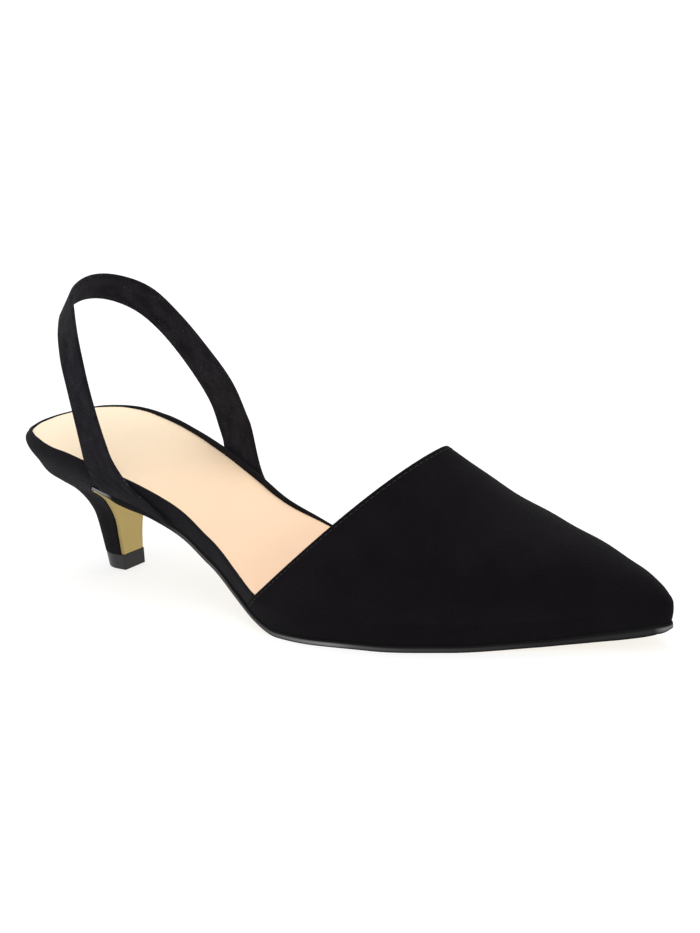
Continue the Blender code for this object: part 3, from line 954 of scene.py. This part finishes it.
def build_heel():
    """Build the suede-covered heel block, drawn out at its top to meet the rand."""
    loop, ahead = seat_loop()
    to_rand = (wall_points(loop, 0.0, RAND_INSET) - heel_ring(1.0)) * (1, 1, 0)
    to_rand *= np.clip((1 - ahead) / HEEL_DRAW_FRONT, 0, 1)[:, None]
    rings = []
    for share in np.linspace(0, 1, HEEL_ROWS):
        drawn = np.clip((share - HEEL_DRAW_START) / (1 - HEEL_DRAW_START), 0, 1) ** 2
        rings.append(with_front(heel_ring(share, CONTACT) + to_rand * drawn))
    return stack_piece("heel_block", rings, HEEL_SUEDE, HEEL_BEVEL)


def build_top_piece():
    """Build the rubber top piece, flush with the heel block and with the flap in front of it."""
    ring = with_front(heel_ring(0.0))
    back = ring[0, 0]
    front = ring[:, 0].max()
    reach = front + GAP + FLAP_THICKNESS - back
    upper = ring.copy()
    upper[:, 0] = back + (ring[:, 0] - back) * reach / (front - back)
    upper[:, 2] = TOP_PIECE_HEIGHT + CONTACT - TOP_PIECE_INSERT
    lower = upper.copy()
    lower[:, 0] = back + reach - (back + reach - upper[:, 0]) * TOP_PIECE_TAPER
    lower[:, 1] *= TOP_PIECE_TAPER
    lower[:, 2] = 0.0
    rings = [lower + (upper - lower) * part for part in np.linspace(0, 1, TOP_PIECE_ROWS)]
    return stack_piece("heel_tip", rings, RUBBER, TOP_PIECE_BEVEL)


# Outsole, with its flap down the front of the heel

SOLE_STEPS = 170
FLAP_STEPS = 50
FLAP_INKED = 4
# How much deeper the sole looks than its solid, under waist and toe: along in mm, then each side in mm
SOLE_FILL = table("along lateral medial", [
    (45, 0.30, 0.25),
    (47, 0.40, 0.30),
    (49, 0.85, 0.37),
    (51, 1.35, 0.44),
    (55, 1.55, 0.55),
    (58, 1.45, 0.60),
    (61, 1.15, 0.64),
    (65, 0.85, 0.66),
    (76, 0.72, 0.62),
    (89, 0.58, 0.45),
    (97, 0.52, 0.32),
    (106, 0.30, 0.16),
    (116, 0.00, 0.00),
    (220, 0.00, 0.00),
    (231, 0.35, 0.35),
    (241, 0.80, 0.80),
    (247, 0.85, 0.85),
    (250, 0.75, 0.75),
    (252, 0.40, 0.40),
    (254, -0.50, -0.50),
])
# Edge from the upper side to the underside: share of the depth, then in mm how far the sole's edge and
# the flap's edge are drawn in
SOLE_EDGE = table("share sole flap", [
    (0.00, 0.45, 0.30),
    (0.10, 0.14, 0.14),
    (0.25, 0.02, 0.02),
    (0.50, -0.05, -0.05),
    (0.75, 0.02, 0.02),
    (0.90, 0.06, 0.06),
    (1.00, 0.22, 0.22),
    (1.00, 1.60, 1.60),
])
# Finishes of the sole's faces, by their order in the piece
UNDERSIDE = 0
INKED = 1
CUT = 2


def build_outsole():
    """Build the sole from the toe to the waist and on down the front of the heel."""
    angles = np.linspace(math.pi, angle_at(SEAT_FRONT + SOLE_THICKNESS), SOLE_STEPS + 1)
    x = place_at(angles)
    fronts = []
    for share in np.linspace(1, 0, FLAP_STEPS):
        fronts.append(heel_ring(share)[[SEAT_STEPS, SEAT_STEPS + 1]])
    fronts = np.array(fronts)
    fronts[:, 0, 1] += FLAP_MARGIN
    fronts[:, 1, 1] -= FLAP_MARGIN
    middle = (wall_points(angles, 0.0) + wall_points(-angles, 0.0)) / 2
    middle[:, 2] -= GAP
    path = np.concatenate([middle, fronts.mean(axis=1)])
    along = unit(np.gradient(path[:, [0, 2]], axis=0))
    outward = np.stack([-along[:, 1], np.zeros(len(path)), along[:, 0]], axis=1)
    clear = np.concatenate([np.full(len(x), -CONTACT), np.full(FLAP_STEPS, GAP - CONTACT)])[:, None]
    depth = np.concatenate([SOLE_DEPTH(x), np.full(FLAP_STEPS, FLAP_THICKNESS + GAP)])[:, None]
    depth[:len(x), 0] += CONTACT

    lateral_rows = []
    medial_rows = []
    for share, sole_inset, flap_inset in zip(*SOLE_EDGE.values()):
        sides = []
        for side, sign, column in (("lateral", 1, 0), ("medial", -1, 1)):
            deep = depth.copy()
            deep[:len(x), 0] += side_value(SOLE_FILL, side, x)
            away = outward * (clear + share * (deep - np.maximum(clear, 0)))
            plate = wall_points(sign * angles, 0.0, sole_inset * MM - WELT(x))
            plate[:, 2] -= GAP
            flap = fronts[:, column].copy()
            flap[:, 1] += sign * flap_inset * MM
            sides.append(np.concatenate([plate, flap]) + away)
        lateral_rows.append(sides[0])
        medial_rows.append(sides[1])
    rings = np.array([*lateral_rows, *medial_rows[::-1]]).transpose(1, 0, 2)
    stations, columns = rings.shape[:2]
    faces = grid_faces(stations, columns, True)
    rows = len(lateral_rows)
    kinds = []
    for station in range(stations - 1):
        edge = INKED if station < len(x) + FLAP_INKED else CUT
        for column in range(columns):
            under = rows - 2 <= column <= rows
            kinds.append(UNDERSIDE if under else edge)
    faces.append(tuple(range((stations - 1) * columns, stations * columns)))
    kinds.append(CUT)
    shares = [*SOLE_EDGE["share"], *SOLE_EDGE["share"][::-1]]
    along_mm = [*(x / MM), *np.zeros(FLAP_STEPS)]
    places = [(station, share) for station in along_mm for share in shares]
    return add_piece("sole", rings.reshape(-1, 3), faces, [SOLE_TAN, EDGE_INK_AND_HIGHLIGHT, CUT_EDGE],
                     kinds, places)


# Strap

STRAP_STEPS_PER_POINT = 4
STRAP_ACROSS = 8
STRAP_STEP = 0.9 * MM
STRAP_EDGE_STEPS = 5
STRAP_FLAT_STEPS = 14


def through_points(points, steps):
    """Return a smooth curve that passes through every point."""
    before = np.concatenate([2 * points[:1] - points[1:2], points[:-2]])
    after = np.concatenate([points[2:], 2 * points[-1:] - points[-2:-1]])
    curve = []
    for p0, p1, p2, p3 in zip(before, points[:-1], points[1:], after):
        for t in np.arange(steps) / steps:
            bend = (2 * p0 - 5 * p1 + 4 * p2 - p3) * t * t + (3 * p1 - p0 - 3 * p2 + p3) * t ** 3
            curve.append(p1 + ((p2 - p0) * t + bend) / 2)
    return np.array([*curve, points[-1]])


def tail_lines(side):
    """Return the lines across a tail, from its end to near the rim, with their outward sides."""
    lines = []
    middle = CURVED_GAP + STRAP_THICKNESS / 2 - CONTACT
    for share, back, front in zip(TAILS["share"], TAILS[side + "_back"], TAILS[side + "_front"]):
        angles = angle_at(np.linspace(back, front, STRAP_ACROSS + 1) * MM)
        if side == "medial":
            angles = -angles
        line = wall_points(angles, share, -middle)
        out = unit(wall_points(angles, share, -middle - STRAP_THICKNESS) - line)
        lines.append(np.concatenate([line, out], axis=1))
    return lines


def free_lines():
    """Return the lines across the strap between its tails, with their outward sides."""
    route = np.stack(list(STRAP_ROUTE.values()), axis=1)
    curve = through_points(route, STRAP_STEPS_PER_POINT)
    centre = curve[:, :3] * MM
    lean = np.radians(curve[:, 3:4])
    half = curve[:, 4] * MM
    along = unit(np.gradient(centre, axis=0))
    level_out = centre * (1, 1, 0) - (STRAP_AXIS_X, 0, 0)
    level_out -= along * np.sum(level_out * along, axis=1, keepdims=True)
    level_out = unit(level_out)
    level_across = np.cross(along, level_out)
    across = level_across * np.cos(lean) + level_out * np.sin(lean)
    out = level_out * np.cos(lean) - level_across * np.sin(lean)
    lines = []
    for i in range(len(centre)):
        shares = np.linspace(-1, 1, STRAP_ACROSS + 1)[:, None]
        line = centre[i] + across[i] * shares * half[i]
        lines.append(np.concatenate([line, np.repeat(out[i:i + 1], len(line), axis=0)], axis=1))
    return lines


def smoothed_lines(lines):
    """Return lines at even steps along a smooth surface through the given ones."""
    lines = np.array(lines)
    centres = lines[:, :, :3].mean(axis=1)
    gaps = np.linalg.norm(np.diff(centres, axis=0), axis=1)
    places = np.concatenate([[0.0], np.cumsum(gaps)])
    slopes = np.diff(lines, axis=0) / gaps[:, None, None]
    before = gaps[:-1, None, None]
    after = gaps[1:, None, None]
    inner = (slopes[:-1] * after + slopes[1:] * before) / (before + after)
    tangents = np.concatenate([slopes[:1], inner, slopes[-1:]])
    wanted = np.linspace(0, places[-1], int(places[-1] / STRAP_STEP) + 1)
    i = np.clip(np.searchsorted(places, wanted, side="right") - 1, 0, len(gaps) - 1)
    t = ((wanted - places[i]) / gaps[i])[:, None, None]
    return cubic(lines, tangents, i, t, gaps[i][:, None, None]), wanted


def build_strap():
    """Build the elastic strap in one piece from tail to tail, with rounded edges."""
    all_lines = [*tail_lines("lateral"), *free_lines(), *tail_lines("medial")[::-1]]
    lines, lengths = smoothed_lines(all_lines)
    half_thickness = STRAP_THICKNESS / 2
    edge = np.linspace(0, math.pi / 2, STRAP_EDGE_STEPS + 1)
    vertices = []
    places = []
    for line, length in zip(lines, lengths):
        points = line[:, :3]
        outs = unit(line[:, 3:])
        along = lengths_along(points)
        width = along[-1]
        rounded = half_thickness * (1 - np.cos(edge))
        flat = np.linspace(rounded[-1], width - rounded[-1], STRAP_FLAT_STEPS + 1)[1:-1]
        across = np.concatenate([rounded, flat, width - rounded[::-1]])
        lift = np.concatenate([np.sin(edge), np.ones(len(flat)), np.sin(edge[::-1])]) * half_thickness
        middle = read_along(across, along, points)
        out = unit(read_along(across, along, outs))
        upper = middle + out * lift[:, None]
        lower = middle - out * lift[:, None]
        vertices += [*upper, *lower[-2:0:-1]]
        shifted = (across - width / 2) / MM
        places += [(value, length / MM) for value in [*shifted, *shifted[-2:0:-1]]]
    columns = len(vertices) // len(lines)
    faces = grid_faces(len(lines), columns, True)
    faces.append(tuple(range(columns - 1, -1, -1)))
    faces.append(tuple(range(len(vertices) - columns, len(vertices))))
    return add_piece("elastic_strap", vertices, faces, [ELASTIC], places=places)


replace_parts(build_vamp(), "upper")
build_lining()
build_stitches()
build_rand()
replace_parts(build_footbed(), "insole")
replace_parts(build_heel(), "heel")
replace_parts(build_top_piece(), "top_piece")
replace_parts(build_outsole(), "outsole")
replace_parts(build_strap(), "sling_strap")


# Camera, floor and light

IMAGE_WIDTH = 700
IMAGE_HEIGHT = 933
SENSOR = 36.0
FOCAL_PIXELS = 3002.685
CAMERA_AZIMUTH = math.radians(39.381)
CAMERA_ELEVATION = math.radians(17.732)
CAMERA_ROLL = math.radians(-5.887)
CAMERA_DISTANCE = 1.0
# A point of the last in mm, and the pixel where it falls
AIM = np.array([125.0, 0.0, 30.0]) * MM
AIM_PIXEL = (330.875, 514.931)
FLOOR_HALF = 20.0
FLOOR_DROP = 0.1 * MM
FLOOR_DARK = (0.31, 0.31, 0.31, 1)
FLOOR_LIGHT = (0.33, 0.33, 0.33, 1)
FLOOR_GLOW = 0.75
WORLD_STRENGTH = 0.72
WHITE = (1, 1, 1, 1)


def place_camera():
    """Stand the camera at the photograph's angle, shifted so that the aim falls on its pixel."""
    turn, rise, roll = CAMERA_AZIMUTH, CAMERA_ELEVATION, CAMERA_ROLL
    back = Vector((math.sin(turn) * math.cos(rise), -math.cos(turn) * math.cos(rise), math.sin(rise)))
    level = Vector((math.cos(turn), math.sin(turn), 0))
    upright = back.cross(level)
    right = level * math.cos(roll) + upright * math.sin(roll)
    up = upright * math.cos(roll) - level * math.sin(roll)
    location = Vector(AIM + SHIFT) + back * CAMERA_DISTANCE
    off_right = IMAGE_WIDTH / 2 - AIM_PIXEL[0]
    off_up = AIM_PIXEL[1] - IMAGE_HEIGHT / 2
    camera = bpy.data.cameras.new("camera")
    camera.sensor_width = SENSOR
    camera.lens = FOCAL_PIXELS * SENSOR / IMAGE_HEIGHT
    camera.shift_x = off_right / IMAGE_HEIGHT
    camera.shift_y = off_up / IMAGE_HEIGHT
    camera.clip_end = 50
    holder = bpy.data.objects.new("camera", camera)
    axes = Matrix((right, up, back)).transposed().to_4x4()
    holder.matrix_world = Matrix.Translation(location) @ axes
    bpy.context.scene.collection.objects.link(holder)
    bpy.context.scene.camera = holder


def add_floor():
    """Lay a plain pale floor."""
    corners = [(FLOOR_HALF * x, FLOOR_HALF * y, 0) for x, y in ((-1, -1), (1, -1), (1, 1), (-1, 1))]
    mesh = bpy.data.meshes.new("floor")
    mesh.from_pydata(corners, [], [(0, 1, 2, 3)])
    finish, tree, shader = new_finish("floor", {
        "Roughness": 0.8, "Specular IOR Level": 0.1,
        "Emission Color": WHITE, "Emission Strength": FLOOR_GLOW})
    speckle = noise(tree, place_of(tree), 30, 2)
    link(tree, shader, {"Base Color": ramp(tree, speckle, [(0.0, FLOOR_DARK), (1.0, FLOOR_LIGHT)])})
    mesh.materials.append(finish)
    floor = bpy.data.objects.new("floor", mesh)
    floor.location.z = -FLOOR_DROP
    bpy.context.scene.collection.objects.link(floor)


def add_light(name, size, power, place, target=(0.0, 0.0, 0.03)):
    """Hang a soft square light that faces the target."""
    lamp = bpy.data.lights.new(name, "AREA")
    lamp.size = size
    lamp.energy = power
    holder = bpy.data.objects.new(name, lamp)
    holder.location = place
    holder.rotation_euler = (Vector(target) - Vector(place)).to_track_quat("-Z", "Y").to_euler()
    bpy.context.scene.collection.objects.link(holder)


def add_world():
    """Surround the shoe with even white light."""
    world = bpy.data.worlds.new("studio")
    world.use_nodes = True
    background = world.node_tree.nodes["Background"]
    background.inputs["Color"].default_value = WHITE
    background.inputs["Strength"].default_value = WORLD_STRENGTH
    bpy.context.scene.world = world


place_camera()
add_floor()
add_world()
add_light("overhead", size=1.4, power=10, place=(-0.2, 0.2, 1.3))
add_light("front", size=1.0, power=4.5, place=(0.9, -0.8, 0.7))
bpy.context.scene.view_settings.view_transform = "Standard"
